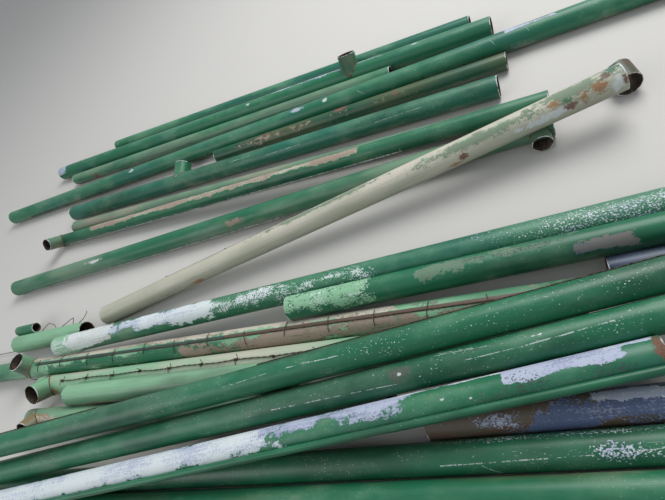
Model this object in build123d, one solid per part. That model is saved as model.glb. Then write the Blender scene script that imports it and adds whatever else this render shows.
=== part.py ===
from build123d import *
import math
import os

# Lengths in millimetres. X runs along the tubes, Y goes away from the
# viewer, Z is up from the ground the stack lies on.

THICK = 76.1 / 2
THICK_WALL = 3.2
THIN = 60.3 / 2
THIN_WALL = 2.9
ROD = 17.2 / 2
ROD_WALL = 2.3
SLEEVE = 42.4 / 2
SLEEVE_WALL = 2.6
CLEAR = 0.2

# Domed plug in the open end of a post.
PLUG_CROWN = 16.0
PLUG_RIM = 3.0
PLUG_LENGTH = 24.0
PLUG_WALL = 2.5
PLUG_GAP = 0.3

# Hinge sleeve on the shortest tube, in millimetres from that tube's left end.
SLEEVE_START = 2.0
SLEEVE_LENGTH = 125.0
SLEEVE_ANGLE = 24.0

# Short offcut on the ground past the right end of the last far tube, whose
# mouth faces the viewer: centre of the mouth in plan units, and its length.
CROSS_MOUTH = (7.96, 31.42)
CROSS_HEADING = 98.6
CROSS_LENGTH = 72.0

# One unit of the plan, in millimetres.
U = 38.05
WALL = {THICK: THICK_WALL, THIN: THIN_WALL, ROD: ROD_WALL, SLEEVE: SLEEVE_WALL}

# name, outer radius, length in millimetres, left end (x, y) and a point (x, y)
# that the axis runs towards, both in plan units, in the order of laying. A last
# number, where there is one, says how much lower the right end of a tube lies.
PLAN = [
    ("far_tube_1", THIN, 2060.0, (-56.0, 53.45), (-2.2, 47.3)),
    ("far_tube_2", THICK, 2590.0, (-68.0, 52.2), (-0.3, 45.05)),
    ("far_tube_3", THICK, 4000.0, (-76.9, 45.9), (28.1, 40.55)),
    ("far_tube_4", THIN, 2015.0, (-63.7, 49.4), (-11.0, 44.36)),
    ("far_tube_5", THIN, 1305.0, (-34.0, 41.85), (0.2, 39.5)),
    ("far_tube_6", THICK, 2240.0, (-59.6, 41.15), (-0.9, 36.3)),
    ("far_tube_7", THIN, 2150.0, (-58.2, 38.35), (-2.0, 33.0)),
    ("far_tube_8", THICK, 2590.0, (-65.8, 30.2), (2.2, 29.9)),
    ("far_tube_9", THIN, 2420.0, (-60.9, 36.7), (2.5, 31.1)),
    ("far_tube_10", THICK, 2010.0, (-44.9, 22.2), (7.3, 30.15)),
    ("near_tube_1", THICK, 465.0, (-59.6, 21.1), (-46.4, 20.8)),
    ("near_tube_2", THICK, 3000.0, (-77.8, 18.4), (1.0, 15.05)),
    ("near_tube_3", THIN, 1000.0, (2.8, 16.45), (29.1, 16.45)),
    ("near_tube_4", THICK, 2000.0, (-51.5, 15.08), (1.1, 12.95)),
    ("near_tube_5", THICK, 1500.0, (-51.2, 11.65), (-11.8, 9.85)),
    ("near_tube_6", THICK, 3000.0, (-60.0, 3.3), (18.8, 3.95)),
    ("near_tube_7", THICK, 3000.0, (-62.0, 5.4), (16.8, 6.05)),
    ("near_tube_8", THICK, 1500.0, (-9.4, 7.9), (30.0, 8.3)),
    ("near_tube_9", THICK, 3000.0, (-49.6, 18.9), (29.2, 20.45)),
    ("near_tube_10", THICK, 1500.0, (-20.0, 17.55), (19.4, 18.21)),
    ("near_tube_11", THICK, 1000.0, (-44.7, 13.1), (-18.4, 12.1)),
    ("near_tube_12", THICK, 3000.0, (-74.4, 0.61), (3.9, 9.86)),
    ("near_tube_13", ROD, 3000.0, (-60.0, 1.3), (18.8, 10.65)),
    ("near_tube_15", THICK, 3000.0, (-51.5, 6.05), (27.3, 14.41), 0.0),
    ("near_tube_14", THICK, 3000.0, (-52.0, 7.65), (26.8, 16.5), 2.1),
]


# Short pieces welded across a tube: name, the tube, distance of their axis from
# its left end in plan units, angle from the level line that points away from
# the viewer, reach from the tube's axis in plan units, and outer radius.
STUBS = [
    ("far_tube_2_stub", "far_tube_2", 52.8, 66.0, 2.3, THICK),
    ("far_tube_6_stub", "far_tube_6", 20.7, 14.0, 2.4, THICK),
    ("far_tube_8_stub", "far_tube_8", 67.0, 180.0, 1.8, THIN),
    ("far_tube_9_stub", "far_tube_9", 1.0, 136.0, 2.6, THIN),
    ("near_tube_2_stub", "near_tube_2", 23.3, 90.0, 2.2, THICK),
    ("near_tube_4_stub", "near_tube_4", 1.6, 131.0, 2.4, THICK),
    ("near_tube_5_stub", "near_tube_5", 1.3, 145.0, 1.9, THICK),
]
STUB_START = 0.25

# Limits of the search for a tube's height and tilt.
TOP = 700.0
TILT_STEP = 6.0
HALVINGS = 32


def closest(p1, q1, p2, q2):
    """Least distance between two straight pieces."""
    d1 = [b - a for a, b in zip(p1, q1)]
    d2 = [b - a for a, b in zip(p2, q2)]
    r = [a - b for a, b in zip(p1, p2)]
    a = sum(v * v for v in d1)
    e = sum(v * v for v in d2)
    f = sum(u * v for u, v in zip(d2, r))
    c = sum(u * v for u, v in zip(d1, r))
    b = sum(u * v for u, v in zip(d1, d2))
    den = a * e - b * b
    s = 0.5
    if den > 1e-9 * a * e:
        s = min(1.0, max(0.0, (b * f - c * e) / den))
    t = (b * s + f) / e
    if t < 0.0:
        t = 0.0
        s = min(1.0, max(0.0, -c / a))
    elif t > 1.0:
        t = 1.0
        s = min(1.0, max(0.0, (b - c) / a))
    gap = [r[k] + s * d1[k] - t * d2[k] for k in range(3)]
    return math.sqrt(sum(v * v for v in gap))


def seat(radius, left, right, placed, fall=None):
    """Heights of both ends of a tube laid on the ground and on the tubes before it."""

    def clear(z1, z2):
        if min(z1, z2) < radius + CLEAR:
            return False
        p = (left[0], left[1], z1)
        q = (right[0], right[1], z2)
        for other, p2, q2 in placed:
            if closest(p, q, p2, q2) < radius + other + CLEAR:
                return False
        return True

    def lowest(tilt):
        high = TOP
        low = 0.0
        for _ in range(HALVINGS):
            mid = (low + high) / 2
            if clear(mid - tilt / 2, mid + tilt / 2):
                high = mid
            else:
                low = mid
        return high

    if fall is None:
        best = min(range(-40, 41), key=lambda k: (lowest(k * TILT_STEP), abs(k)))
        lo = (best - 1) * TILT_STEP
        hi = (best + 1) * TILT_STEP
        for _ in range(HALVINGS):
            m1 = lo + (hi - lo) / 3
            m2 = hi - (hi - lo) / 3
            if lowest(m1) <= lowest(m2):
                hi = m2
            else:
                lo = m1
        tilt = (lo + hi) / 2
    else:
        tilt = -fall
    mid = lowest(tilt)
    return mid - tilt / 2, mid + tilt / 2


def lay():
    """Every tube as name: (radius, left end, right end), at rest on what is under it."""
    placed = []
    out = {}
    for name, radius, length, a, b, *fall in PLAN:
        left = (a[0] * U, a[1] * U)
        turn = math.atan2(b[1] - a[1], b[0] - a[0])
        right = (left[0] + length * math.cos(turn), left[1] + length * math.sin(turn))
        z1, z2 = seat(radius, left, right, placed, *[f * U for f in fall])
        p = (left[0], left[1], z1)
        share = length / math.hypot(length, z2 - z1)
        q = tuple(u + (v - u) * share for u, v in zip(p, (right[0], right[1], z2)))
        placed.append((radius, p, q))
        out[name] = (radius, p, q)
    return out


def pipe(radius, p, q):
    """A straight round tube from p to q."""
    bore = radius - WALL[radius]
    return rod(radius, p, q) - rod(bore, p, q)


def rod(radius, p, q):
    """A straight round bar from p to q."""
    along = q - p
    plane = Plane(origin=p, z_dir=along)
    return plane * Cylinder(radius, along.length, align=(Align.CENTER, Align.CENTER, Align.MIN))


def across(p, q, angle):
    """Unit vector square to a tube, at an angle above the level line away from the viewer."""
    along = (q - p).normalized()
    away = Vector(0, 0, 1).cross(along).normalized()
    up = along.cross(away)
    turn = math.radians(angle)
    return away * math.cos(turn) + up * math.sin(turn)


def stub(tube, station, angle, reach, radius):
    """A short piece whose foot is coped to sit on the tube."""
    outer, p, q = tube
    foot = p + (q - p).normalized() * station * U
    out = across(p, q, angle)
    body = pipe(radius, foot + out * outer * STUB_START, foot + out * reach * U)
    return body - rod(outer + CLEAR, p, q)


def cross_piece():
    """The offcut lying just past the end of the last far tube."""
    turn = math.radians(CROSS_HEADING)
    mouth = Vector(CROSS_MOUTH[0] * U, CROSS_MOUTH[1] * U, THICK + CLEAR)
    back = mouth + Vector(math.cos(turn), math.sin(turn), 0) * CROSS_LENGTH
    return pipe(THICK, mouth, back)


def sleeve(tube):
    """A short hinge sleeve that lies along the far side of a tube."""
    outer, p, q = tube
    along = (q - p).normalized()
    side = across(p, q, SLEEVE_ANGLE) * (outer + SLEEVE + CLEAR)
    start = p + along * SLEEVE_START + side
    return pipe(SLEEVE, start, start + along * SLEEVE_LENGTH)


def plug(tube):
    """A domed plug pushed into the left end of a tube."""
    outer, p, q = tube
    inner = outer - WALL[outer] - PLUG_GAP
    shell = inner - PLUG_WALL
    low = (Align.CENTER, Align.CENTER, Align.MIN)
    high = (Align.CENTER, Align.CENTER, Align.MAX)
    ball = (outer ** 2 + PLUG_CROWN ** 2) / (2 * PLUG_CROWN)
    top = PLUG_RIM + PLUG_CROWN
    dome = Pos(0, 0, top - ball) * Sphere(ball) & Cylinder(outer, top, align=low)
    skirt = Cylinder(inner, PLUG_LENGTH, align=high) - Cylinder(shell, PLUG_LENGTH, align=high)
    return Plane(origin=p, z_dir=p - q) * (dome + skirt)


def main():
    tubes = {}
    for name, (radius, p, q) in lay().items():
        tubes[name] = (radius, Vector(*p), Vector(*q))
        print("TUBE", name, round(radius, 2), *[round(v, 2) for v in p + q])
    nodes = {name: pipe(*tube) for name, tube in tubes.items()}
    for name, tube, station, angle, reach, radius in STUBS:
        nodes[name] = stub(tubes[tube], station, angle, reach, radius)
    nodes["far_tube_10_cross"] = cross_piece()
    nodes["near_tube_1_sleeve"] = sleeve(tubes["near_tube_1"])
    nodes["near_tube_11_plug"] = plug(tubes["near_tube_11"])
    boxes = [shape.bounding_box() for shape in nodes.values()]
    shift = Vector(
        -(min(b.min.X for b in boxes) + max(b.max.X for b in boxes)) / 2,
        -(min(b.min.Y for b in boxes) + max(b.max.Y for b in boxes)) / 2,
        -min(b.min.Z for b in boxes),
    )
    print("SHIFT", *[round(v, 3) for v in shift])
    os.makedirs("parts", exist_ok=True)
    for name, shape in nodes.items():
        export_step(shape.moved(Location(shift)), "parts/" + name + ".step")


if __name__ == "__main__":
    main()
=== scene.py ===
"""Paint, rust, welds and fence wire for a stack of used steel tubes."""

import math

import bpy
import numpy as np
from mathutils import Matrix, Vector


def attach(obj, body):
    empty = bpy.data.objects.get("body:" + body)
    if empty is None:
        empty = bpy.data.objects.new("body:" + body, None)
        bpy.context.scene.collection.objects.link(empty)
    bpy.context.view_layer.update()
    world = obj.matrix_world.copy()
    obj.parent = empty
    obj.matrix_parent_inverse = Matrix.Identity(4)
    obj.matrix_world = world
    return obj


bl_info = {
    "name": "Stack of Steel Tubes",
    "version": (1, 0, 0),
    "blender": (4, 5, 0),
    "location": "3D View > Sidebar > Tubes",
    "description": "Finishes a stack of used fence tubes with worn paint, rust, welds and wire",
    "category": "Object",
}

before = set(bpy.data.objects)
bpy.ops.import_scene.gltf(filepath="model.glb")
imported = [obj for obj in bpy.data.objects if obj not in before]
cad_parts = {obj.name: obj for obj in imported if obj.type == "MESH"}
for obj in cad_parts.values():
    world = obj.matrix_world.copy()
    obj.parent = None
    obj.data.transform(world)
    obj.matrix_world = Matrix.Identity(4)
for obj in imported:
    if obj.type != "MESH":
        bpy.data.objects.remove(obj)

# Scales of the four noises in every coat, from the slowest to the finest.
COARSE_SCALE = 13.0
RAGGED_SCALE = 44.0
SPECK_SCALE = 260.0
GRAIN_SCALE = 620.0

# Coil of wire in the middle of a barb, in metres.
COIL_RADIUS = 0.0034
COIL_HEIGHT = 0.009

# Path of the barbed strand along its tube: start, step and lift in metres, and how many points.
STRAND_PATH = (0.17, 0.07, 0.0035, 17)

# Steps between the noise seeds of the tubes, and of the short pieces after their first seed.
TUBE_SEED_STEP = 11.3
STUB_SEED = 400
STUB_SEED_STEP = 7.7

# Half side of the floor, and the camera's place in plan seen from the left end of the pale tube.
FLOOR_HALF = 40.0
FLOOR_TONE = (0.64, 0.62, 0.59, 1.0)
SKY_TONE = (0.88, 0.94, 1.0, 1.0)
CAMERA_FROM_MARK = (1.7084, -0.8447)

# Lamps: name, share of the key light's power, side and place in metres. All aim at the middle.
LAMPS = (
    ("key_lamp", 1.0, 3.0, Vector((1.8, 2.4, 3.6))),
    ("side_lamp", 0.22, 2.4, Vector((-2.6, -2.4, 2.6))),
)


def tone(red, green, blue):
    """Linear colour for three display values from 0 to 255."""
    parts = [v / 255 for v in (red, green, blue)]
    return tuple(v / 12.92 if v < 0.04045 else ((v + 0.055) / 1.055) ** 2.4 for v in parts)


def colour_setting(label, text, *display):
    return bpy.props.FloatVectorProperty(
        name=label, description=text, default=tone(*display), size=3, min=0.0, max=1.0, subtype="COLOR"
    )


def length_setting(label, text, metres):
    return bpy.props.FloatProperty(
        name=label, description=text, default=metres, min=0.0,
        subtype="DISTANCE", unit="LENGTH", precision=4,
    )


def angle_setting(label, text, degrees):
    return bpy.props.FloatProperty(
        name=label, description=text, default=math.radians(degrees), subtype="ANGLE"
    )


class TubePaints(bpy.types.PropertyGroup):
    green: colour_setting("Green", "Common gloss paint", 34, 112, 78)
    # Deep green is also the painted shade on the tubes' undersides.
    deep: colour_setting("Deep green", "Darker runs of the same paint", 20, 80, 58)
    teal: colour_setting("Teal", "Bluish paint of the far row", 36, 108, 88)
    mint: colour_setting("Mint", "Sun-bleached light green", 142, 192, 154)
    sage: colour_setting("Sage", "Dull grey green", 106, 136, 112)
    olive: colour_setting("Olive", "Brownish old green", 80, 94, 64)
    faded: colour_setting("Faded", "Chalky beige of the bleached tube", 186, 186, 166)
    pale: colour_setting("Pale", "Pinkish cream of rubbed old paint", 206, 200, 184)
    chalk: colour_setting("Chalk", "White of rubbed and powdery paint", 222, 230, 232)
    primer: colour_setting("Primer", "Blue-white coat under the green", 184, 192, 214)
    violet: colour_setting("Violet", "Shaded streaks in the coat under the green", 140, 148, 176)
    slate: colour_setting("Slate", "Dull blue undercoat", 84, 100, 134)
    blue: colour_setting("Blue", "Dark blue tube", 42, 56, 90)
    rust: colour_setting("Rust", "Red-brown rust", 112, 62, 46)
    ochre: colour_setting("Ochre", "Young orange rust", 160, 112, 66)
    umber: colour_setting("Umber", "Brown grime", 100, 82, 70)
    soot: colour_setting("Old rust", "Nearly black rust inside the tubes", 62, 50, 44)
    # Strip also paints the shadow along the top of near_tube_2.
    strip: colour_setting("Strip", "Grey green of the dark strip", 60, 84, 76)
    dust: colour_setting("Dust", "Pinkish ground dust", 160, 142, 128)
    steel: colour_setting("Steel", "Bare wire and rubbed rims", 122, 120, 116)


class WireSizes(bpy.types.PropertyGroup):
    line: length_setting("Line wire", "Radius of the wires along the tubes", 0.0016)
    tie: length_setting("Tie wire", "Radius of the wire twisted round a tube", 0.0011)
    spacing: length_setting("Tie spacing", "Distance between two ties", 0.15)
    bead: length_setting("Weld bead", "Radius of one weld ripple", 0.0034)
    ripple: length_setting("Weld ripple", "Distance between two weld ripples", 0.0028)


class StageSettings(bpy.types.PropertyGroup):
    height: length_setting("Camera height", "Height of the camera above the ground", 1.194)
    heading: angle_setting("Heading", "Turn of the camera to the left", 36.23)
    dip: angle_setting("Dip", "Angle of the view below the horizon", 46.6)
    roll: angle_setting("Roll", "Turn of the picture", -42.4)
    lens: bpy.props.FloatProperty(
        name="Lens", description="Focal length on a 36 mm sensor", default=25.98, unit="CAMERA"
    )
    key: bpy.props.FloatProperty(
        name="Key light", description="Power of the large lamp", default=165.0, unit="POWER"
    )
    fill: bpy.props.FloatProperty(name="Sky light", description="Strength of the even light", default=0.40)


class Tube:
    """The run of a straight tube, read from its solid: two ends, direction, radius and wall."""

    def __init__(self, name, root=None):
        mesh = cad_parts[name].data
        count = len(mesh.polygons)
        normals = np.zeros(count * 3)
        areas = np.zeros(count)
        points = np.zeros(len(mesh.vertices) * 3)
        mesh.polygons.foreach_get("normal", normals)
        mesh.polygons.foreach_get("area", areas)
        mesh.vertices.foreach_get("co", points)
        normals = normals.reshape(-1, 3)
        points = points.reshape(-1, 3)
        spread = (normals * areas[:, None]).T @ normals
        along = Vector(np.linalg.eigh(spread)[1][:, 0]).normalized()
        if root is not None:
            centre = Vector(points.mean(axis=0))
            if (centre - root.foot(centre)).dot(along) < 0:
                along = -along
        elif along.x < 0:
            along = -along
        guide = Vector((0, 0, 1)) if abs(along.z) < 0.9 else Vector((0, 1, 0))
        self.along = along
        self.up = (guide - along * along.dot(guide)).normalized()
        self.near = along.cross(self.up)
        across = np.stack([points @ np.array(self.up), points @ np.array(self.near)], axis=1)
        middle = (across.max(axis=0) + across.min(axis=0)) / 2
        for _ in range(3):
            far = np.linalg.norm(across - middle, axis=1)
            rim = across[far > far.max() - 0.001]
            system = np.c_[2 * rim, np.ones(len(rim))]
            fit = np.linalg.lstsq(system, (rim**2).sum(axis=1), rcond=None)[0]
            middle = fit[:2]
        far = np.linalg.norm(across - middle, axis=1)
        self.radius = float(math.sqrt(fit[2] + middle @ middle))
        self.wall = self.radius - float(far.min())
        steps = points @ np.array(along)
        self.length = float(steps.max() - steps.min())
        self.axis = self.up * float(middle[0]) + self.near * float(middle[1])
        self.start = self.axis + along * float(steps.min())
        self.end = self.axis + along * float(steps.max())

    def foot(self, point):
        """The nearest point of the axis."""
        return self.start + self.along * (point - self.start).dot(self.along)

    def spot(self, distance, angle, lift=0.0):
        """A point on the outside; angle 0 is the top and 90 faces the viewer."""
        turn = math.radians(angle)
        out = self.up * math.cos(turn) + self.near * math.sin(turn)
        return self.start + self.along * distance + out * (self.radius + lift)

    def place(self):
        """Turns a shape made along +X, with +Z up, onto this tube."""
        turned = Matrix((self.along, -self.near, self.up)).transposed().to_4x4()
        return Matrix.Translation(self.start) @ turned


class Field:
    """A value that changes over a shape. Arithmetic on it adds nodes to its tree."""

    def __init__(self, sheet, socket):
        self.sheet = sheet
        self.socket = socket

    def maths(self, operation, *values):
        return self.sheet.node("ShaderNodeMath", {"operation": operation}, *values)

    def __add__(self, other):
        return self.maths("ADD", self, other)

    def __radd__(self, other):
        return self.maths("ADD", other, self)

    def __sub__(self, other):
        return self.maths("SUBTRACT", self, other)

    def __rsub__(self, other):
        return self.maths("SUBTRACT", other, self)

    def __mul__(self, other):
        return self.maths("MULTIPLY", self, other)

    def __truediv__(self, other):
        return self.maths("DIVIDE", self, other)

    def __abs__(self):
        return self.maths("ABSOLUTE", self)

    def most(self, other):
        return self.maths("MAXIMUM", self, other)

    def least(self, other):
        return self.maths("MINIMUM", self, other)

    def step(self, edge, blur, *ends):
        settings = {"interpolation_type": "SMOOTHSTEP"}
        return self.sheet.node("ShaderNodeMapRange", settings, self, edge - blur, edge + blur, *ends)

    def over(self, edge, blur):
        """Rises softly from 0 to 1 as the value passes the edge."""
        return self.step(edge, blur, 0.0, 1.0)

    def under(self, edge, blur):
        """Falls softly from 1 to 0 as the value passes the edge."""
        return self.step(edge, blur, 1.0, 0.0)


class Sheet:
    """Adds nodes to one tree."""

    def __init__(self, tree):
        self.tree = tree

    def node(self, kind, settings, *values, out=0, **named):
        """A node of this type: settings, then values or links for its sockets in order or by name."""
        made = self.tree.nodes.new(kind)
        for key, value in (settings or {}).items():
            setattr(made, key, value)
        for index, value in enumerate(values):
            self.feed(made.inputs[index], value)
        for key, value in named.items():
            self.feed(made.inputs[key.replace("_", " ")], value)
        return Field(self, made.outputs[out])

    def feed(self, socket, value):
        if isinstance(value, Field):
            self.tree.links.new(value.socket, socket)
        elif isinstance(value, list):
            for part in value:
                self.feed(socket, part)
        elif value is not None:
            socket.default_value = value

    def mix(self, factor, first, second):
        """First colour where the factor is 0, second where it is 1."""
        gap = (None,) * 5
        return self.node("ShaderNodeMix", {"data_type": "RGBA"}, factor, *gap, first, second, out=2)

    def vector(self, operation, *values, out=0, **named):
        return self.node("ShaderNodeVectorMath", {"operation": operation}, *values, out=out, **named)

    def stepped(self, curve, length):
        """The curve with points at even steps."""
        return self.node("GeometryNodeResampleCurve", {"mode": "LENGTH"}, Curve=curve, Length=length)

    def circle(self, count, radius):
        return self.node("GeometryNodeCurvePrimitiveCircle", None, Resolution=count, Radius=radius)

    def swept(self, curve, ring):
        """A mesh with the ring drawn along the curve."""
        return self.node("GeometryNodeCurveToMesh", None, curve, ring, None)

    def straight(self, start, end):
        """A straight line between two places, each given by three values."""
        return self.node(
            "GeometryNodeCurvePrimitiveLine", None,
            Start=self.node("ShaderNodeCombineXYZ", None, *start),
            End=self.node("ShaderNodeCombineXYZ", None, *end),
        )

    def scatter(self, low, high, seed):
        """Three random values for each place, each between its own two bounds."""
        settings = {"data_type": "FLOAT_VECTOR"}
        return self.node("FunctionNodeRandomValue", settings, low, high, Seed=seed)

    def noise(self, where, scale, detail=4.0, roughness=0.55):
        return self.node(
            "ShaderNodeTexNoise", None, Vector=where, Scale=scale, Detail=detail, Roughness=roughness
        )


class Skin(Sheet):
    """The finish of one tube, with places given as distance along it and angle round it."""

    def __init__(self, tree, tube, seed):
        super().__init__(tree)
        self.tube = tube
        self.seed = seed
        self.degree = math.radians(1) * tube.radius  # metres round the tube
        here = self.node("ShaderNodeTexCoord", None, out="Object")
        away = self.vector("SUBTRACT", here, tuple(tube.start))
        self.along = self.vector("DOT_PRODUCT", away, tuple(tube.along), out="Value")
        self.up = self.vector("DOT_PRODUCT", away, tuple(tube.up), out="Value")
        self.near = self.vector("DOT_PRODUCT", away, tuple(tube.near), out="Value")
        run = self.vector("SCALE", tuple(tube.along), Scale=self.along)
        self.radial = self.vector("SUBTRACT", away, run)
        self.reach = self.vector("LENGTH", self.radial, out="Value")
        self.angle = self.up.maths("ARCTAN2", self.near, self.up) * (180 / math.pi)
        self.ragged = self.noise(self.grid(0.8), RAGGED_SCALE, 9.0, 0.68)
        self.coarse = self.noise(self.grid(0.55), COARSE_SCALE, 4.0, 0.6)
        self.specks = self.noise(self.grid(0.75, 21.0), SPECK_SCALE, 3.0, 0.6)

    def grid(self, stretch, shift=0.0):
        """Coordinates along and across the tube; a small stretch draws a pattern out along it."""
        first = self.along * stretch + (self.seed + shift)
        return self.node("ShaderNodeCombineXYZ", None, first, self.up, self.near)

    def beyond(self, start, end, middle, half):
        """How far outside a stretch of the surface, in metres, and less than 0 inside it."""
        run = abs(self.along - (start + end) / 2) - (end - start) / 2
        return run.most((abs(self.angle - middle) - half) * self.degree)

    def weathered(self, start, end, middle, half):
        """Like beyond, but the ends of the stretch run out over twice the length."""
        run = (abs(self.along - (start + end) / 2) - (end - start) / 2) * 0.5
        return run.most((abs(self.angle - middle) - half) * self.degree)

    def cover(self, start, end, middle, half, margin):
        """Rises from 0 outside a stretch of the surface to 1 well inside it."""
        far = self.weathered(start, end, middle, half) + (self.coarse - 0.5) * (margin * 3.6)
        return far.under(0.0, margin)

    def flaked(self, cover, speckle):
        """1 where the coat has come off: whole inside the cover, and in ever fewer flecks past it."""
        noise = self.ragged * (1.0 - speckle) + self.specks * speckle
        return (noise + cover * 0.5).over(0.75, 0.012)

    def band(self, start, end, middle, half):
        """1 inside a straight stripe with a crisp edge."""
        return (self.beyond(start, end, middle, half) + (self.ragged - 0.5) * 0.003).under(0.0, 0.0007)

    def blot(self, at, angle, size, width):
        """1 inside a small spot with a torn edge."""
        run = (self.along - at) / size
        side = (self.angle - angle) * (self.degree / width)
        square = run * run + side * side
        span = square.maths("SQRT", square)
        return (span + (self.ragged - 0.5) * 3.4 + (self.specks - 0.5) * 1.6).under(0.85, 0.3)

    def score(self, at, angle, to, slant, width):
        """1 on a long thin scratch that skips in places."""
        lean = (slant - angle) / (to - at)
        line = self.angle - angle - (self.along - at) * lean + (self.coarse - 0.5) * 8.0
        side = abs(line) * self.degree - width / 2 + (self.specks - 0.5) * 0.004
        run = abs(self.along - (at + to) / 2) - (to - at) / 2
        skips = self.ragged * 0.5 + self.specks * 0.5
        return side.most(run).under(0.0, 0.0005) * skips.over(0.49, 0.04)

    def normal(self):
        """The true round of the tube outside and inside, and the face itself at its cut ends."""
        out = self.vector("NORMALIZE", self.radial)
        middle = self.tube.radius - self.tube.wall / 2
        sign = self.reach.over(middle, 0.0001) * 2.0 - 1.0
        turned = self.vector("SCALE", out, Scale=sign)
        face = self.node("ShaderNodeNewGeometry", None, out="True Normal")
        flat = abs(self.vector("DOT_PRODUCT", face, tuple(self.tube.along), out="Value")).over(0.5, 0.01)
        gap = (None,) * 3
        return self.node("ShaderNodeMix", {"data_type": "VECTOR"}, flat, *gap, turned, face, out=1)


class Look:
    """What is known of one tube's paint and wear."""

    def __init__(
        self, paint, second, fade=0.3, ticks=0.5, dust=0.2, peels=(), bands=(), spots=(), scores=()
    ):
        self.paint = paint
        self.second = second
        self.fade = fade
        self.ticks = ticks
        self.dust = dust
        self.peels = peels
        self.bands = bands
        self.spots = spots
        self.scores = scores


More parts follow.
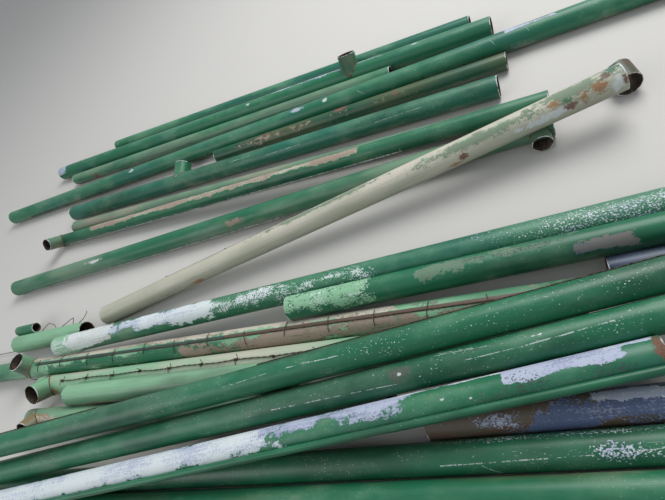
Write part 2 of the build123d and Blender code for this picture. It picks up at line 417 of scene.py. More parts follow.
# Places are metres from the left end and degrees round the tube: 0 is the top, 90 the viewer's side.
# A peel is start, end, middle, half angle, margin, density, share of fine specks and two tones.
# A band is start, end, middle, half angle and tone. A spot is place, angle, half length, half width
# and tone. A score is place, angle, place, angle and width.
LOOKS = {
    "far_tube_1": Look("teal", "green", 0.4, 0.5, 0.25),
    "far_tube_2": Look(
        "green", "teal", 0.3, 0.6, 0.15,
        peels=[
            (1.55, 2.15, -28, 20, 0.02, 0.66, 0.7, "primer", "mint"),
            (0.0, 0.07, 10, 50, 0.012, 0.9, 0.3, "primer", "sage"),
        ],
        spots=[(2.30, -8, 0.015, 0.004, "chalk"), (1.47, 14, 0.012, 0.008, "chalk")],
    ),
    "far_tube_3": Look(
        "teal", "green", 0.25, 0.7, 0.15,
        peels=[(2.96, 3.12, -8, 10, 0.008, 0.8, 0.5, "primer", "steel")],
        spots=[
            (2.09, 7, 0.03, 0.01, "primer"), (2.23, 15, 0.012, 0.01, "chalk"),
            (1.08, 12, 0.02, 0.01, "chalk"),
        ],
        scores=[
            (2.38, 30, 2.405, 62, 0.0024), (2.90, 10, 2.915, 48, 0.0024), (3.02, 8, 3.03, 40, 0.0024),
        ],
    ),
    "far_tube_4": Look("sage", "green", 0.3, 0.3, 0.4, spots=[(0.20, 100, 0.03, 0.02, "rust")]),
    "far_tube_5": Look(
        "olive", "deep", 0.06, 0.35, 0.2,
        peels=[(0.1, 0.95, 30, 25, 0.03, 0.5, 0.3, "dust", "olive")],
        spots=[
            (0.66, -12, 0.03, 0.014, "rust"), (0.30, -5, 0.018, 0.010, "rust"),
            (0.9, 20, 0.012, 0.01, "rust"),
        ],
    ),
    "far_tube_6": Look(
        "teal", "deep", 0.25, 0.6, 0.15,
        scores=[(1.78, 46, 1.98, 40, 0.0016), (1.10, 20, 1.22, 16, 0.0016), (1.30, 44, 1.47, 40, 0.0018)],
    ),
    "far_tube_7": Look("sage", "dust", 0.3, 0.3, 0.5),
    "far_tube_8": Look(
        "green", "sage", 0.16, 0.4, 0.15,
        spots=[(1.43, 43, 0.04, 0.016, "dust"), (0.62, 20, 0.05, 0.008, "chalk")],
    ),
    "far_tube_9": Look(
        "green", "deep", 0.2, 0.5, 0.15, peels=[(0.30, 1.80, 0, 30, 0.014, 0.86, 0.25, "dust", "faded")]
    ),
    "far_tube_10": Look(
        "faded", "pale", 0.5, 0.15, 0.2,
        peels=[
            (1.40, 1.76, 8, 24, 0.03, 0.55, 0.4, "sage", "mint"),
            (0.2, 0.6, 70, 30, 0.03, 0.40, 0.4, "sage", "dust"),
        ],
        spots=[
            (1.60, 20, 0.20, 0.018, "sage"), (1.88, 10, 0.12, 0.030, "sage"),
            (1.80, 70, 0.10, 0.012, "chalk"), (1.05, -12, 0.25, 0.012, "sage"),
            (1.865, 66, 0.018, 0.012, "rust"), (1.90, 52, 0.014, 0.020, "ochre"),
            (1.94, 44, 0.024, 0.020, "ochre"), (1.965, 5, 0.020, 0.014, "umber"),
            (1.82, 30, 0.018, 0.014, "ochre"), (1.985, 60, 0.018, 0.020, "chalk"),
            (1.985, -15, 0.020, 0.018, "teal"), (1.86, 38, 0.014, 0.010, "green"),
            (2.004, 60, 0.008, 0.014, "rust"), (1.55, 74, 0.016, 0.010, "rust"),
            (1.525, 92, 0.02, 0.008, "ochre"), (0.5, 96, 0.03, 0.008, "ochre"),
        ],
    ),
    "far_tube_10_cross": Look(
        "deep", "umber", 0.1, 0.2, 0.4,
        spots=[(0.0715, -75, 0.003, 0.05, "chalk"), (0.0715, 170, 0.003, 0.03, "chalk")],
    ),
    "near_tube_1": Look("mint", "sage", 0.45, 0.3, 0.25),
    "near_tube_1_sleeve": Look("green", "sage", 0.3, 0.3, 0.3),
    "near_tube_2": Look(
        "mint", "green", 0.4, 0.4, 0.3,
        peels=[
            (0.90, 2.55, -40, 32, 0.02, 0.74, 0.3, "pale", "dust"),
            (1.02, 1.95, 52, 44, 0.03, 0.9, 0.25, "green", "sage"),
            (1.75, 2.80, 60, 50, 0.05, 0.78, 0.3, "dust", "olive"),
            (2.55, 3.0, -30, 34, 0.04, 0.6, 0.3, "sage", "dust"),
        ],
        # The strip band is a painted shadow along the top; the umber band is rust with painted shadow.
        bands=[(0.95, 1.95, 2, 10, "strip"), (1.95, 2.99, 1, 10, "umber")],
    ),
    "near_tube_3": Look(
        "blue", "violet", 0.12, 0.5, 0.2, peels=[(0.1, 0.6, 30, 25, 0.03, 0.5, 0.6, "violet", "primer")]
    ),
    "near_tube_4": Look(
        "mint", "pale", 0.4, 0.3, 0.25,
        spots=[(0.10, 60, 0.03, 0.02, "ochre"), (1.12, 50, 0.03, 0.01, "dust")],
    ),
    "near_tube_5": Look(
        "sage", "mint", 0.4, 0.3, 0.35,
        peels=[(0.02, 0.18, 10, 45, 0.03, 0.7, 0.3, "pale", "ochre")],
        spots=[(0.12, 60, 0.016, 0.012, "rust")],
    ),
    "near_tube_6": Look("green", "olive", 0.25, 0.6, 0.35),
    "near_tube_7": Look(
        "green", "deep", 0.12, 0.8, 0.1,
        peels=[
            (2.33, 2.62, 18, 20, 0.03, 0.58, 0.9, "primer", "chalk"),
            (2.0, 2.5, -45, 14, 0.01, 0.42, 0.9, "chalk", "primer"),
        ],
        scores=[
            (2.03, 34, 2.255, 30, 0.0026), (2.27, 29, 2.34, 27, 0.002), (2.36, 26, 2.62, 4, 0.0034),
            (2.12, 40, 2.16, 80, 0.0024),
        ],
    ),
    "near_tube_8": Look(
        "umber", "deep", 0.1, 0.4, 0.4,
        peels=[
            (0.10, 0.22, 28, 30, 0.02, 0.58, 0.8, "primer", "violet"),
            (0.26, 1.0, 15, 64, 0.14, 0.92, 0.5, "slate", "violet"),
            (0.36, 0.9, -22, 18, 0.012, 0.9, 0.3, "primer", "chalk"),
        ],
    ),
    "near_tube_9": Look(
        "green", "teal", 0.3, 0.6, 0.15,
        peels=[
            (-0.2, 0.14, 30, 100, 0.03, 1.0, 0.3, "mint", "chalk"),
            (0.09, 0.36, 10, 66, 0.03, 0.95, 0.3, "chalk", "pale"),
            (0.30, 0.80, 5, 50, 0.035, 0.95, 0.4, "chalk", "primer"),
            (0.75, 1.40, 10, 45, 0.06, 0.58, 0.7, "chalk", "mint"),
            (1.80, 3.1, 10, 95, 0.08, 0.50, 0.95, "primer", "chalk"),
        ],
    ),
    "near_tube_10": Look(
        "green", "deep", 0.2, 0.5, 0.2,
        peels=[
            # The mint and chalk patch at the left end is painted sunlight.
            (-0.05, 0.28, -10, 70, 0.05, 0.62, 0.5, "mint", "chalk"),
            (0.45, 0.80, -10, 22, 0.03, 0.85, 0.1, "sage", "strip"),
            (0.80, 0.93, 40, 24, 0.012, 0.74, 0.5, "steel", "slate"),
        ],
    ),
    "near_tube_11": Look(
        "mint", "sage", 0.3, 0.5, 0.15, peels=[(0.05, 0.85, 100, 20, 0.01, 0.8, 0.3, "dust", "pale")]
    ),
    "near_tube_12": Look(
        "green", "teal", 0.25, 0.6, 0.3,
        peels=[
            (-0.1, 2.13, -18, 66, 0.035, 1.0, 0.35, "chalk", "primer"),
            (2.05, 2.50, -30, 48, 0.04, 0.80, 0.45, "primer", "violet"),
            (2.46, 2.72, -58, 12, 0.008, 0.62, 0.5, "chalk", "primer"),
            (2.70, 2.93, -42, 40, 0.012, 1.0, 0.15, "primer", "violet"),
            (2.90, 2.985, -58, 18, 0.006, 0.95, 0.2, "primer", "chalk"),
            (2.30, 2.95, 52, 40, 0.06, 0.52, 0.7, "strip", "steel"),
        ],
        spots=[
            (2.995, 0, 0.012, 0.05, "rust"), (2.56, 4, 0.006, 0.003, "chalk"),
            (2.62, 20, 0.004, 0.0025, "chalk"),
        ],
    ),
    "near_tube_13": Look("green", "deep", 0.1, 0.4, 0.15),
    "near_tube_14": Look(
        "green", "deep", 0.25, 0.8, 0.12,
        peels=[(1.5, 2.9, 5, 50, 0.1, 0.26, 0.9, "chalk", "mint")],
        scores=[(1.10, 22, 1.25, 10, 0.0018), (1.30, 9, 1.47, 14, 0.0022), (1.33, 5, 1.47, 16, 0.0014)],
    ),
    "near_tube_15": Look(
        "green", "deep", 0.2, 0.8, 0.12,
        peels=[
            (1.85, 1.92, -10, 8, 0.008, 0.8, 0.4, "primer", "chalk"),
            (1.6, 2.9, -15, 34, 0.1, 0.27, 0.9, "chalk", "mint"),
        ],
        spots=[(1.575, 8, 0.026, 0.018, "strip"), (1.58, 12, 0.005, 0.004, "chalk")],
        scores=[
            (1.66, -28, 1.80, -14, 0.0018), (1.74, 16, 1.85, 16, 0.0016), (1.85, 18, 2.05, 3, 0.0026),
            (1.22, 30, 1.42, 37, 0.0026), (1.45, 37, 1.58, 44, 0.0018), (1.68, -33, 1.76, -22, 0.0014),
        ],
    ),
}

# Short pieces, each with the tube that it is welded to.
STUBS = {
    "far_tube_2_stub": ("far_tube_2", Look("green", "sage", 0.3, 0.4, 0.0)),
    "far_tube_6_stub": ("far_tube_6", Look("sage", "green", 0.2, 0.4, 0.2)),
    "far_tube_8_stub": ("far_tube_8", Look("sage", "olive", 0.3, 0.4, 0.6)),
    "far_tube_9_stub": ("far_tube_9", Look("sage", "olive", 0.3, 0.4, 0.5)),
    "near_tube_2_stub": ("near_tube_2", Look("mint", "sage", 0.45, 0.3, 0.35)),
    "near_tube_4_stub": ("near_tube_4", Look("mint", "olive", 0.3, 0.3, 0.45)),
    "near_tube_5_stub": ("near_tube_5", Look("sage", "ochre", 0.3, 0.3, 0.45)),
}


def paints():
    """The tones as colours with full alpha."""
    group = bpy.context.scene.tube_paints
    return {name: (*getattr(group, name), 1.0) for name in group.__annotations__}


def finish_tree(name):
    """A new material whose tree holds only a shader and an output."""
    material = bpy.data.materials.new(name)
    material.use_nodes = True
    tree = material.node_tree
    tree.nodes.clear()
    shader = tree.nodes.new("ShaderNodeBsdfPrincipled")
    output = tree.nodes.new("ShaderNodeOutputMaterial")
    tree.links.new(shader.outputs[0], output.inputs[0])
    return material, tree, shader


def coat(name, tube, look, seed):
    """Worn paint over steel for one straight tube."""
    tones = paints()
    material, tree, shader = finish_tree(name + "_paint")
    skin = Skin(tree, tube, seed)
    grain = skin.noise(skin.grid(1.0), GRAIN_SCALE, 3.0)
    wander = skin.noise(skin.grid(0.3, 3.0), 6.0, 3.0)
    streak = skin.noise(skin.grid(0.03, 5.0), 190.0, 4.0)
    fine = skin.noise(skin.grid(0.015, 9.0), 800.0, 2.0)
    # The lower side of the tube, which takes both the painted shade and the soil.
    low = abs(skin.angle).over(100.0, 45.0)
    top = abs(skin.angle + 10.0).under(45.0, 45.0)
    pale = tones["pale" if look.paint == "faded" else "mint"]

    # Two runs of paint, painted shade darkening the underside, the top bleached, and soil in the hollows.
    colour = skin.mix(wander.over(0.52, 0.10), tones[look.paint], tones[look.second])
    # Painted shade: the underside is mixed towards deep green.
    colour = skin.mix(low * 0.5 + streak.over(0.56, 0.08) * 0.12, colour, tones["deep"])
    haze = (wander * 0.4 + skin.coarse * 0.6 + top * 0.08).over(0.58, 0.10) * (look.fade * 0.8)
    colour = skin.mix(haze, colour, pale)
    soil = (low * 0.5 + (skin.coarse - 0.5) * 1.6).over(0.42, 0.25) * min(1.0, look.dust + 0.25)
    colour = skin.mix(soil, colour, tones["dust"])

    # Fields where the coat has peeled, and stripes of painted shadow, partly rust.
    gone = soil * 0.0
    for start, end, middle, half, margin, density, speckle, first, second in look.peels:
        mask = skin.flaked(skin.cover(start, end, middle, half, margin) * density, speckle)
        shade = (streak * 0.25 + skin.specks * 0.35 + skin.coarse * 0.4).over(0.53, 0.05)
        colour = skin.mix(mask, colour, skin.mix(shade, tones[first], tones[second]))
        gone = gone.most(mask)
    for start, end, middle, half, dark in look.bands:
        colour = skin.mix(skin.band(start, end, middle, half), colour, tones[dark])

    # Nicks, fine lines and scratches.
    nicks = skin.specks.over(0.70 - look.ticks * 0.04, 0.014) * skin.coarse.over(0.53, 0.06) * look.ticks
    lines = fine.over(0.72, 0.012) * skin.coarse.over(0.57, 0.05) * look.ticks
    rubbed = nicks.most(lines)
    for score in look.scores:
        rubbed = rubbed.most(skin.score(*score))
    colour = skin.mix(rubbed * 0.75, colour, tones["chalk"])

    # Rust and other small spots.
    rust = nicks * 0.0
    for at, angle, size, width, name_of_tone in look.spots:
        mask = skin.blot(at, angle, size, width)
        blotch = skin.mix(grain.over(0.5, 0.12) * 0.35, tones[name_of_tone], tones["dust"])
        colour = skin.mix(mask * 0.92, colour, blotch)
        rust = rust.most(mask)

    # Bare rims at the cut ends, and the rusty bore.
    tip = skin.along.least(tube.length - skin.along)
    rim = (tip + (skin.ragged - 0.5) * 0.016).under(0.0016, 0.001)
    edge = skin.mix(skin.ragged.over(0.52, 0.03), tones["chalk"], tones["rust"])
    colour = skin.mix(rim * 0.85, colour, edge)
    inside = skin.reach.under(tube.radius - tube.wall * 0.6, 0.0003)
    bore = skin.mix(skin.ragged.over(0.5, 0.1), tones["umber"], tones["soot"])
    colour = skin.mix(inside, colour, bore)

    rough = 0.38 + haze * 0.25 + soil * 0.35 + gone * 0.30 + rust * 0.40 + rubbed * 0.2 + rim * 0.3
    rough = rough.most(inside * 0.85).least(0.92)
    height = grain * 0.08 + skin.ragged * 0.18 + streak * 0.03
    height = height - gone * 0.6 - rubbed * 0.3 + rust * grain * 0.8
    bump = skin.node(
        "ShaderNodeBump", None, Strength=0.55, Distance=0.0006,
        Height=height - inside * skin.ragged, Normal=skin.normal(),
    )
    skin.feed(shader.inputs["Base Color"], colour)
    skin.feed(shader.inputs["Roughness"], rough)
    skin.feed(shader.inputs["Normal"], bump)
    return material


def plain_finish(name, first, second, roughness, scale, metallic=0.0, depth=0.0004):
    """Two tones mixed by noise in object space, for small pieces."""
    tones = paints()
    material, tree, shader = finish_tree(name)
    sheet = Sheet(tree)
    here = sheet.node("ShaderNodeTexCoord", None, out="Object")
    broad = sheet.noise(here, scale, 5.0, 0.6)
    grain = sheet.noise(here, scale * 9.0, 3.0)
    mask = (broad * 0.7 + grain * 0.3).over(0.5, 0.08)
    bump = sheet.node("ShaderNodeBump", None, Strength=0.5, Distance=depth, Height=broad + grain * 0.5)
    sheet.feed(shader.inputs["Base Color"], sheet.mix(mask, tones[first], tones[second]))
    sheet.feed(shader.inputs["Roughness"], mask * 0.25 + roughness)
    shader.inputs["Metallic"].default_value = metallic
    sheet.feed(shader.inputs["Normal"], bump)
    return material


def node_tree(name, inputs):
    """A geometry tree with named inputs, and its sheet, input fields and output node."""
    tree = bpy.data.node_groups.new(name, "GeometryNodeTree")
    tree.interface.new_socket(name="Geometry", in_out="OUTPUT", socket_type="NodeSocketGeometry")
    for label, kind in inputs.items():
        tree.interface.new_socket(name=label, in_out="INPUT", socket_type="NodeSocket" + kind)
    sheet = Sheet(tree)
    given = tree.nodes.new("NodeGroupInput")
    fields = {label: Field(sheet, given.outputs[label]) for label in inputs}
    return tree, sheet, fields


def close_tree(tree, sheet, shapes, material):
    """Joins the shapes and gives them a real mesh and their material."""
    joined = sheet.node("GeometryNodeJoinGeometry", None, shapes)
    real = sheet.node("GeometryNodeRealizeInstances", None, joined)
    set_material = sheet.node("GeometryNodeSetMaterial", None, Geometry=real, Material=material)
    output = tree.nodes.new("NodeGroupOutput")
    sheet.feed(output.inputs[0], set_material)


def dress(name, material):
    """Gives one solid its finish."""
    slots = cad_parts[name].data.materials
    slots.clear()
    slots.append(material)


def grown(name, tree, values, base=None, place=None):
    """Runs a tree once and keeps its result as a plain mesh that rides on the stack."""
    holder = bpy.data.objects.new(name, base or bpy.data.meshes.new(name))
    bpy.context.scene.collection.objects.link(holder)
    modifier = holder.modifiers.new("grow", "NODES")
    modifier.node_group = tree
    for item in tree.interface.items_tree:
        if item.in_out == "INPUT" and item.name in values:
            modifier[item.identifier] = values[item.name]
    depsgraph = bpy.context.evaluated_depsgraph_get()
    mesh = bpy.data.meshes.new_from_object(holder.evaluated_get(depsgraph), depsgraph=depsgraph)
    holder.modifiers.clear()
    holder.data = mesh
    if place is not None:
        mesh.transform(place)
    if not mesh.polygons:
        raise RuntimeError(name + " came out empty")
    mesh.polygons.foreach_set("use_smooth", [True] * len(mesh.polygons))
    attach(holder, "root")
    return holder


def tied_wire_tree():
    """A wire along a tube on +X, with short ties that hug the tube across it."""
    tree, sheet, given = node_tree(
        "tied wire",
        {
            "Tube Radius": "Float", "Start": "Float", "End": "Float", "Angle": "Float",
            "Wire Radius": "Float", "Tie Radius": "Float", "Tie Spacing": "Float", "Tie Reach": "Float",
            "Wander": "Float", "Seed": "Int", "Material": "Material",
        },
    )
    line = sheet.straight((given["Start"], 0.0, 0.0), (given["End"], 0.0, 0.0))
    path = sheet.stepped(line, 0.012)
    place = sheet.node("GeometryNodeInputPosition", None)
    here = sheet.node("ShaderNodeSeparateXYZ", None, place)
    drift = sheet.node(
        "ShaderNodeTexNoise", {"noise_dimensions": "4D"}, Vector=place, W=given["Seed"] * 1.7, Scale=5.0
    )
    turn = (given["Angle"] + (drift - 0.5) * given["Wander"]) * (math.pi / 180)
    reach = given["Tube Radius"] + given["Wire Radius"]
    aside = turn.maths("SINE", turn) * reach * -1.0
    above = turn.maths("COSINE", turn) * reach
    laid = sheet.node("ShaderNodeCombineXYZ", None, here, aside, above)
    path = sheet.node("GeometryNodeSetPosition", None, Geometry=path, Position=laid)
    wire = sheet.swept(path, sheet.circle(7, given["Wire Radius"]))

    places = sheet.stepped(line, given["Tie Spacing"])
    arc = sheet.node(
        "GeometryNodeCurveArc", None, Resolution=12,
        Radius=given["Tube Radius"] + given["Wire Radius"] * 1.6,
        Start_Angle=given["Tie Reach"] * (-math.pi / 180),
        Sweep_Angle=given["Tie Reach"] * (math.pi / 90),
    )
    tie = sheet.swept(arc, sheet.circle(6, given["Tie Radius"]))
    stood = sheet.node("GeometryNodeTransform", None, Geometry=tie, Rotation=(0.0, math.radians(-90), 0.0))
    jitter = sheet.scatter((-0.18, -0.16, -0.22), (0.18, 0.16, 0.22), given["Seed"])
    lean = sheet.node("ShaderNodeCombineXYZ", None, given["Angle"] * (math.pi / 180), 0.0, 0.0)
    turned = sheet.vector("ADD", jitter, lean)
    ties = sheet.node("GeometryNodeInstanceOnPoints", None, Points=places, Instance=stood, Rotation=turned)
    close_tree(tree, sheet, [wire, ties], given["Material"])
    return tree


def weld_tree():
    """Overlapping flat drops along a seam."""
    tree, sheet, given = node_tree(
        "weld bead",
        {
            "Seam": "Geometry", "Bead Radius": "Float", "Ripple": "Float", "Seed": "Int",
            "Material": "Material",
        },
    )
    curve = sheet.node("GeometryNodeMeshToCurve", None, Mesh=given["Seam"])
    points = sheet.stepped(curve, given["Ripple"])
    drop = sheet.node("GeometryNodeMeshIcoSphere", None, Radius=given["Bead Radius"], Subdivisions=1)
    size = sheet.scatter((0.75, 0.75, 0.75), (1.2, 1.15, 1.2), given["Seed"])
    turn = sheet.scatter((-3.0, -3.0, -3.0), (3.0, 3.0, 3.0), given["Seed"] + 4)
    drops = sheet.node(
        "GeometryNodeInstanceOnPoints", None, Points=points, Instance=drop, Rotation=turn, Scale=size
    )
    close_tree(tree, sheet, [drops], given["Material"])
    return tree


def strand_tree():
    """Two wires twisted round a path, with a knot and two sharp tails at even steps."""
    tree, sheet, given = node_tree(
        "barbed strand",
        {
            "Path": "Geometry", "Wire Radius": "Float", "Twist": "Float", "Offset": "Float",
            "Barb Spacing": "Float", "Barb Length": "Float", "Seed": "Int", "Material": "Material",
        },
    )
    curve = sheet.node("GeometryNodeMeshToCurve", None, Mesh=given["Path"])
    path = sheet.stepped(curve, 0.003)
    normal = sheet.node("GeometryNodeInputNormal", None)
    tangent = sheet.node("GeometryNodeInputTangent", None)
    side = sheet.vector("CROSS_PRODUCT", tangent, normal)
    run = sheet.node("GeometryNodeSplineParameter", None, out="Length")
    ring = sheet.circle(6, given["Wire Radius"])
    shapes = []
    for phase in (0.0, math.pi):
        turn = run / given["Twist"] * math.tau + phase
        first = sheet.vector("SCALE", normal, Scale=turn.maths("COSINE", turn) * given["Offset"])
        second = sheet.vector("SCALE", side, Scale=turn.maths("SINE", turn) * given["Offset"])
        moved = sheet.node(
            "GeometryNodeSetPosition", None, Geometry=path, Offset=sheet.vector("ADD", first, second)
        )
        shapes.append(sheet.swept(moved, ring))
    coil = sheet.node(
        "GeometryNodeCurveSpiral", None, Resolution=14, Rotations=2.5, Start_Radius=COIL_RADIUS,
        End_Radius=COIL_RADIUS, Height=COIL_HEIGHT,
    )
    half = given["Barb Length"] * 0.5
    tail = sheet.straight((COIL_RADIUS, half * -0.4, 0.0), (0.0042, half, 0.002))
    other = sheet.straight((-COIL_RADIUS, half * 0.4, COIL_HEIGHT), (-0.0042, half * -1.0, 0.008))
    knot = sheet.swept(sheet.node("GeometryNodeJoinGeometry", None, [coil, tail, other]), ring)
    stops = sheet.stepped(curve, given["Barb Spacing"])
    aim = sheet.node("FunctionNodeAlignRotationToVector", {"axis": "Z"}, Vector=tangent)
    spin = sheet.node(
        "FunctionNodeRandomValue", {"data_type": "FLOAT"}, None, None, 0.0, math.tau, out=1,
        Seed=given["Seed"],
    )
    spun = sheet.node(
        "FunctionNodeRotateRotation", {"rotation_space": "LOCAL"}, aim,
        sheet.node("ShaderNodeCombineXYZ", None, 0.0, 0.0, spin),
    )
    shapes.append(
        sheet.node("GeometryNodeInstanceOnPoints", None, Points=stops, Instance=knot, Rotation=spun)
    )
    close_tree(tree, sheet, shapes, given["Material"])
    return tree


def bent_wire_tree():
    """A round wire along a given path, with small kinks."""
    tree, sheet, given = node_tree(
        "bent wire",
        {
            "Path": "Geometry", "Wire Radius": "Float", "Kink": "Float", "Seed": "Int",
            "Material": "Material",
        },
    )
    curve = sheet.node("GeometryNodeMeshToCurve", None, Mesh=given["Path"])
    path = sheet.stepped(curve, 0.004)
    place = sheet.node("GeometryNodeInputPosition", None)
    drift = sheet.node(
        "ShaderNodeTexNoise", {"noise_dimensions": "4D"}, Vector=place, W=given["Seed"] * 1.3, Scale=26.0,
        out="Color",
    )
    shift = sheet.vector("SCALE", sheet.vector("SUBTRACT", drift, (0.5, 0.5, 0.5)), Scale=given["Kink"])
    path = sheet.node("GeometryNodeSetPosition", None, Geometry=path, Offset=shift)
    wire = sheet.swept(path, sheet.circle(7, given["Wire Radius"]))
    close_tree(tree, sheet, [wire], given["Material"])
    return tree


def polyline(name, points, closed=False):
    """A mesh of edges through the points."""
    edges = [(i, i + 1) for i in range(len(points) - 1)]
    if closed:
        edges.append((len(points) - 1, 0))
    mesh = bpy.data.meshes.new(name)
    mesh.from_pydata([tuple(p) for p in points], edges, [])
    return mesh


def seam(main, branch, clearance, count=96):
    """Points round a branch where it meets the outside of the tube that it stands on."""
    foot = main.foot(branch.foot((branch.start + branch.end) / 2))
    out = branch.along
    side = main.along.cross(out).normalized()
    points = []
    for step in range(count):
        turn = math.tau * step / count
        lift = math.sqrt(max(main.radius**2 - (branch.radius * math.sin(turn)) ** 2, 0.0))
        ring = main.along * (branch.radius * math.cos(turn)) + side * (branch.radius * math.sin(turn))
        point = foot + ring + out * lift
        points.append(Vector((point.x, point.y, max(point.z, clearance))))
    return points


class TUBES_OT_paint(bpy.types.Operator):
    """Gives every tube its worn paint"""

    bl_idname = "tubes.paint"
    bl_label = "Paint Tubes"

    def execute(self, context):
        for seed, (name, look) in enumerate(LOOKS.items()):
            dress(name, coat(name, Tube(name), look, seed * TUBE_SEED_STEP))
        return {"FINISHED"}


class TUBES_OT_stubs(bpy.types.Operator):
    """Paints the short pieces welded across tubes and the plug"""

    bl_idname = "tubes.stubs"
    bl_label = "Paint Stubs"

    def execute(self, context):
        for seed, (name, (main, look)) in enumerate(STUBS.items()):
            dress(name, coat(name, Tube(name, Tube(main)), look, STUB_SEED + seed * STUB_SEED_STEP))
        dress("near_tube_11_plug", plain_finish("plug_cover", "mint", "green", 0.45, 60.0))
        return {"FINISHED"}


class TUBES_OT_welds(bpy.types.Operator):
    """Lays a rippled weld bead where each short piece meets its tube"""

    bl_idname = "tubes.welds"
    bl_label = "Weld Beads"

    def execute(self, context):
        sizes = context.scene.wire_sizes
        tree = weld_tree()
        finish = plain_finish("weld_metal", "sage", "rust", 0.5, 90.0, depth=0.0008)
        for seed, (name, (main, _)) in enumerate(STUBS.items()):
            owner = Tube(main)
            points = seam(owner, Tube(name, owner), sizes.bead * 1.4)
            values = {
                "Bead Radius": sizes.bead, "Ripple": sizes.ripple, "Seed": seed, "Material": finish,
            }
            grown(name + "_weld", tree, values, base=polyline(name + "_seam", points, closed=True))
        return {"FINISHED"}


# Wires tied along tubes: name, tube, from and to in metres, angle, tie reach, wander.
TIED = [
    ("far_wire_1", "far_tube_3", 0.20, 2.95, 100, 14, 8),
    ("far_wire_2", "far_tube_9", 0.10, 1.95, 104, 18, 10),
    ("far_wire_3", "far_tube_8", 0.10, 2.20, 112, 22, 12),
    ("far_wire_4", "far_tube_10", 0.35, 1.10, -64, 12, 10),
    ("near_wire_1", "near_tube_2", 0.97, 2.94, 8, 36, 5),
    ("near_wire_2", "near_tube_14", 1.20, 2.60, -64, 12, 6),
    ("near_wire_3", "near_tube_14", 0.05, 0.60, -62, 10, 8),
]
# Those of them whose metal still shines.
BRIGHT = ("far_wire_2", "far_wire_3")


class TUBES_OT_wires(bpy.types.Operator):
    """Lays the fence wires that are still tied along the tubes"""

    bl_idname = "tubes.wires"
    bl_label = "Tied Wires"

    def execute(self, context):
        sizes = context.scene.wire_sizes
        tree = tied_wire_tree()
        old = plain_finish("old_wire", "umber", "soot", 0.55, 120.0, metallic=0.4, depth=0.0002)
        bright = plain_finish("bright_wire", "chalk", "steel", 0.5, 120.0, metallic=0.2, depth=0.0002)
        for seed, (name, tube, start, end, angle, reach, wander) in enumerate(TIED):
            run = Tube(tube)
            finish = bright if name in BRIGHT else old
            values = {
                "Tube Radius": run.radius, "Start": start, "End": end, "Angle": float(angle),
                "Wire Radius": sizes.line, "Tie Radius": sizes.tie, "Tie Spacing": sizes.spacing,
                "Tie Reach": float(reach), "Wander": float(wander), "Seed": seed, "Material": finish,
            }
            grown(name, tree, values, place=run.place())
        return {"FINISHED"}


class TUBES_OT_barbs(bpy.types.Operator):
    """Lays the twisted barbed strand in the groove between two near tubes"""

    bl_idname = "tubes.barbs"
    bl_label = "Barbed Strand"

    def execute(self, context):
        sizes = context.scene.wire_sizes
        tree = strand_tree()
        finish = plain_finish("strand_wire", "umber", "soot", 0.55, 140.0, metallic=0.4, depth=0.0002)
        tube = Tube("near_tube_4")
        start, step, lift, count = STRAND_PATH
        points = [tube.spot(start + step * k, 6 + 3 * math.sin(k * 1.9), lift) for k in range(count)]
        values = {
            "Wire Radius": sizes.tie, "Twist": 0.05, "Offset": 0.0014, "Barb Spacing": 0.13,
            "Barb Length": 0.034, "Seed": 5, "Material": finish,
        }
        grown("barbed_strand", tree, values, base=polyline("strand_path", points))
        return {"FINISHED"}


# Loose wire ends: name, tube, and places along it with angle and lift off the surface.
LOOSE = [
    (
        "mesh_end_1", "near_tube_1",
        [(0.16, -70, 0.001), (0.18, -84, 0.036), (0.215, -88, 0.026), (0.255, -75, 0.001)],
    ),
    (
        "mesh_end_2", "near_tube_1",
        [(0.30, -70, 0.001), (0.33, -84, 0.030), (0.345, -86, 0.036), (0.37, -72, 0.001)],
    ),
    (
        "mesh_end_3", "near_tube_1",
        [(0.41, -70, 0.001), (0.425, -80, 0.020), (0.43, -84, 0.046), (0.42, -86, 0.058)],
    ),
    ("near_rod", "near_tube_1", [(0.05, 150, -0.006), (-0.10, 150, -0.005), (-0.26, 150, -0.004)]),
    (
        "snapped_1", "near_tube_2",
        [
            (0.86, 118, 0.004), (0.92, 122, 0.014), (0.97, 124, 0.006), (1.02, 118, 0.018),
            (1.08, 112, 0.008), (1.12, 104, 0.016),
        ],
    ),
    (
        "snapped_2", "near_tube_2",
        [
            (0.88, 124, 0.012), (0.93, 118, 0.004), (0.985, 122, 0.014), (1.03, 120, 0.004),
            (1.07, 116, 0.016), (1.10, 116, 0.030),
        ],
    ),
]


class TUBES_OT_loose(bpy.types.Operator):
    """Bends the loose wire ends that stick out between the tubes"""

    bl_idname = "tubes.loose"
    bl_label = "Loose Wires"

    def execute(self, context):
        sizes = context.scene.wire_sizes
        tree = bent_wire_tree()
        finish = plain_finish("loose_wire", "umber", "soot", 0.6, 160.0, metallic=0.2, depth=0.0002)
        for seed, (name, tube, path) in enumerate(LOOSE):
            run = Tube(tube)
            points = [run.spot(*place) for place in path]
            values = {"Wire Radius": sizes.line * 0.9, "Kink": 0.004, "Seed": seed, "Material": finish}
            grown(name, tree, values, base=polyline(name + "_path", points))
        return {"FINISHED"}


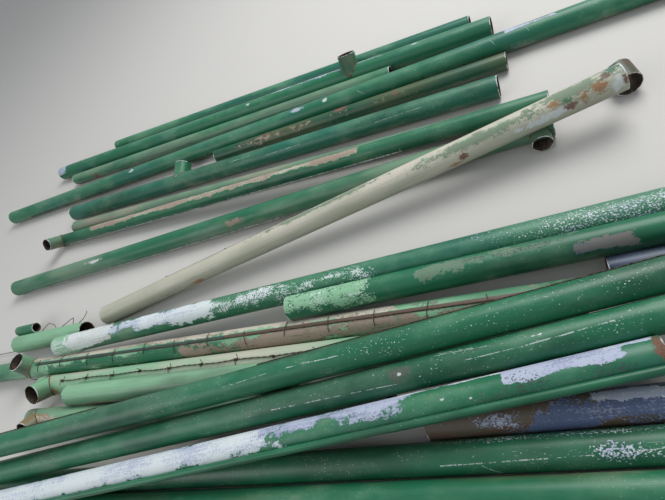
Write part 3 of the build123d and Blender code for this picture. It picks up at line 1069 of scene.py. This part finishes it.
class TUBES_OT_stage(bpy.types.Operator):
    """Sets the floor, the soft lights and the camera at the viewing angle of the picture"""

    bl_idname = "tubes.stage"
    bl_label = "Stage"

    def execute(self, context):
        settings = context.scene.tube_stage
        scene = context.scene
        scene.view_settings.view_transform = "Standard"
        floor = bpy.data.meshes.new("floor")
        corners = [(-1, -1), (1, -1), (1, 1), (-1, 1)]
        floor.from_pydata([(FLOOR_HALF * x, FLOOR_HALF * y, 0) for x, y in corners], [], [(0, 1, 2, 3)])
        ground = bpy.data.objects.new("floor", floor)
        scene.collection.objects.link(ground)
        material, _, shader = finish_tree("pale_floor")
        shader.inputs["Base Color"].default_value = FLOOR_TONE
        shader.inputs["Roughness"].default_value = 0.9
        floor.materials.append(material)

        world = bpy.data.worlds.new("soft_sky")
        scene.world = world
        world.use_nodes = True
        sky = world.node_tree.nodes["Background"]
        sky.inputs[0].default_value = SKY_TONE
        sky.inputs[1].default_value = settings.fill

        for name, share, spread, place in LAMPS:
            lamp = bpy.data.lights.new(name, "AREA")
            lamp.energy = settings.key * share
            lamp.size = spread
            holder = bpy.data.objects.new(name, lamp)
            holder.location = place
            holder.rotation_mode = "QUATERNION"
            holder.rotation_quaternion = (-place).to_track_quat("-Z", "Y")
            scene.collection.objects.link(holder)

        mark = Tube("far_tube_10").start
        view = bpy.data.cameras.new("view")
        view.lens = settings.lens
        view.sensor_width = 36.0
        view.clip_start = 0.05
        view.clip_end = 100.0
        camera = bpy.data.objects.new("view", view)
        camera.location = (mark.x + CAMERA_FROM_MARK[0], mark.y + CAMERA_FROM_MARK[1], settings.height)
        camera.rotation_mode = "QUATERNION"
        turned = (
            Matrix.Rotation(settings.heading, 3, "Z")
            @ Matrix.Rotation(math.pi / 2 - settings.dip, 3, "X")
            @ Matrix.Rotation(settings.roll, 3, "Z")
        )
        camera.rotation_quaternion = turned.to_quaternion()
        scene.collection.objects.link(camera)
        scene.camera = camera
        return {"FINISHED"}


class TUBES_PT_panel(bpy.types.Panel):
    """Lists the steps that finish the stack"""

    bl_idname = "TUBES_PT_panel"
    bl_label = "Stack of Steel Tubes"
    bl_space_type = "VIEW_3D"
    bl_region_type = "UI"
    bl_category = "Tubes"

    def draw(self, context):
        for operator in OPERATORS:
            self.layout.operator(operator.bl_idname)
        for group in ("tube_paints", "wire_sizes", "tube_stage"):
            box = self.layout.box()
            settings = getattr(context.scene, group)
            for name in settings.__annotations__:
                box.prop(settings, name)


OPERATORS = (
    TUBES_OT_paint,
    TUBES_OT_stubs,
    TUBES_OT_welds,
    TUBES_OT_wires,
    TUBES_OT_barbs,
    TUBES_OT_loose,
    TUBES_OT_stage,
)
SETTINGS = {"tube_paints": TubePaints, "wire_sizes": WireSizes, "tube_stage": StageSettings}


def register():
    for group in SETTINGS.values():
        bpy.utils.register_class(group)
    for name, group in SETTINGS.items():
        setattr(bpy.types.Scene, name, bpy.props.PointerProperty(type=group))
    for operator in OPERATORS:
        bpy.utils.register_class(operator)
    bpy.utils.register_class(TUBES_PT_panel)


def unregister():
    bpy.utils.unregister_class(TUBES_PT_panel)
    for operator in reversed(OPERATORS):
        bpy.utils.unregister_class(operator)
    for name, group in SETTINGS.items():
        delattr(bpy.types.Scene, name)
        bpy.utils.unregister_class(group)


def main():
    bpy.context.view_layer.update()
    register()
    for operator in OPERATORS:
        group, action = operator.bl_idname.split(".")
        getattr(getattr(bpy.ops, group), action)()
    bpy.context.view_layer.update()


if __name__ == "__main__":
    main()
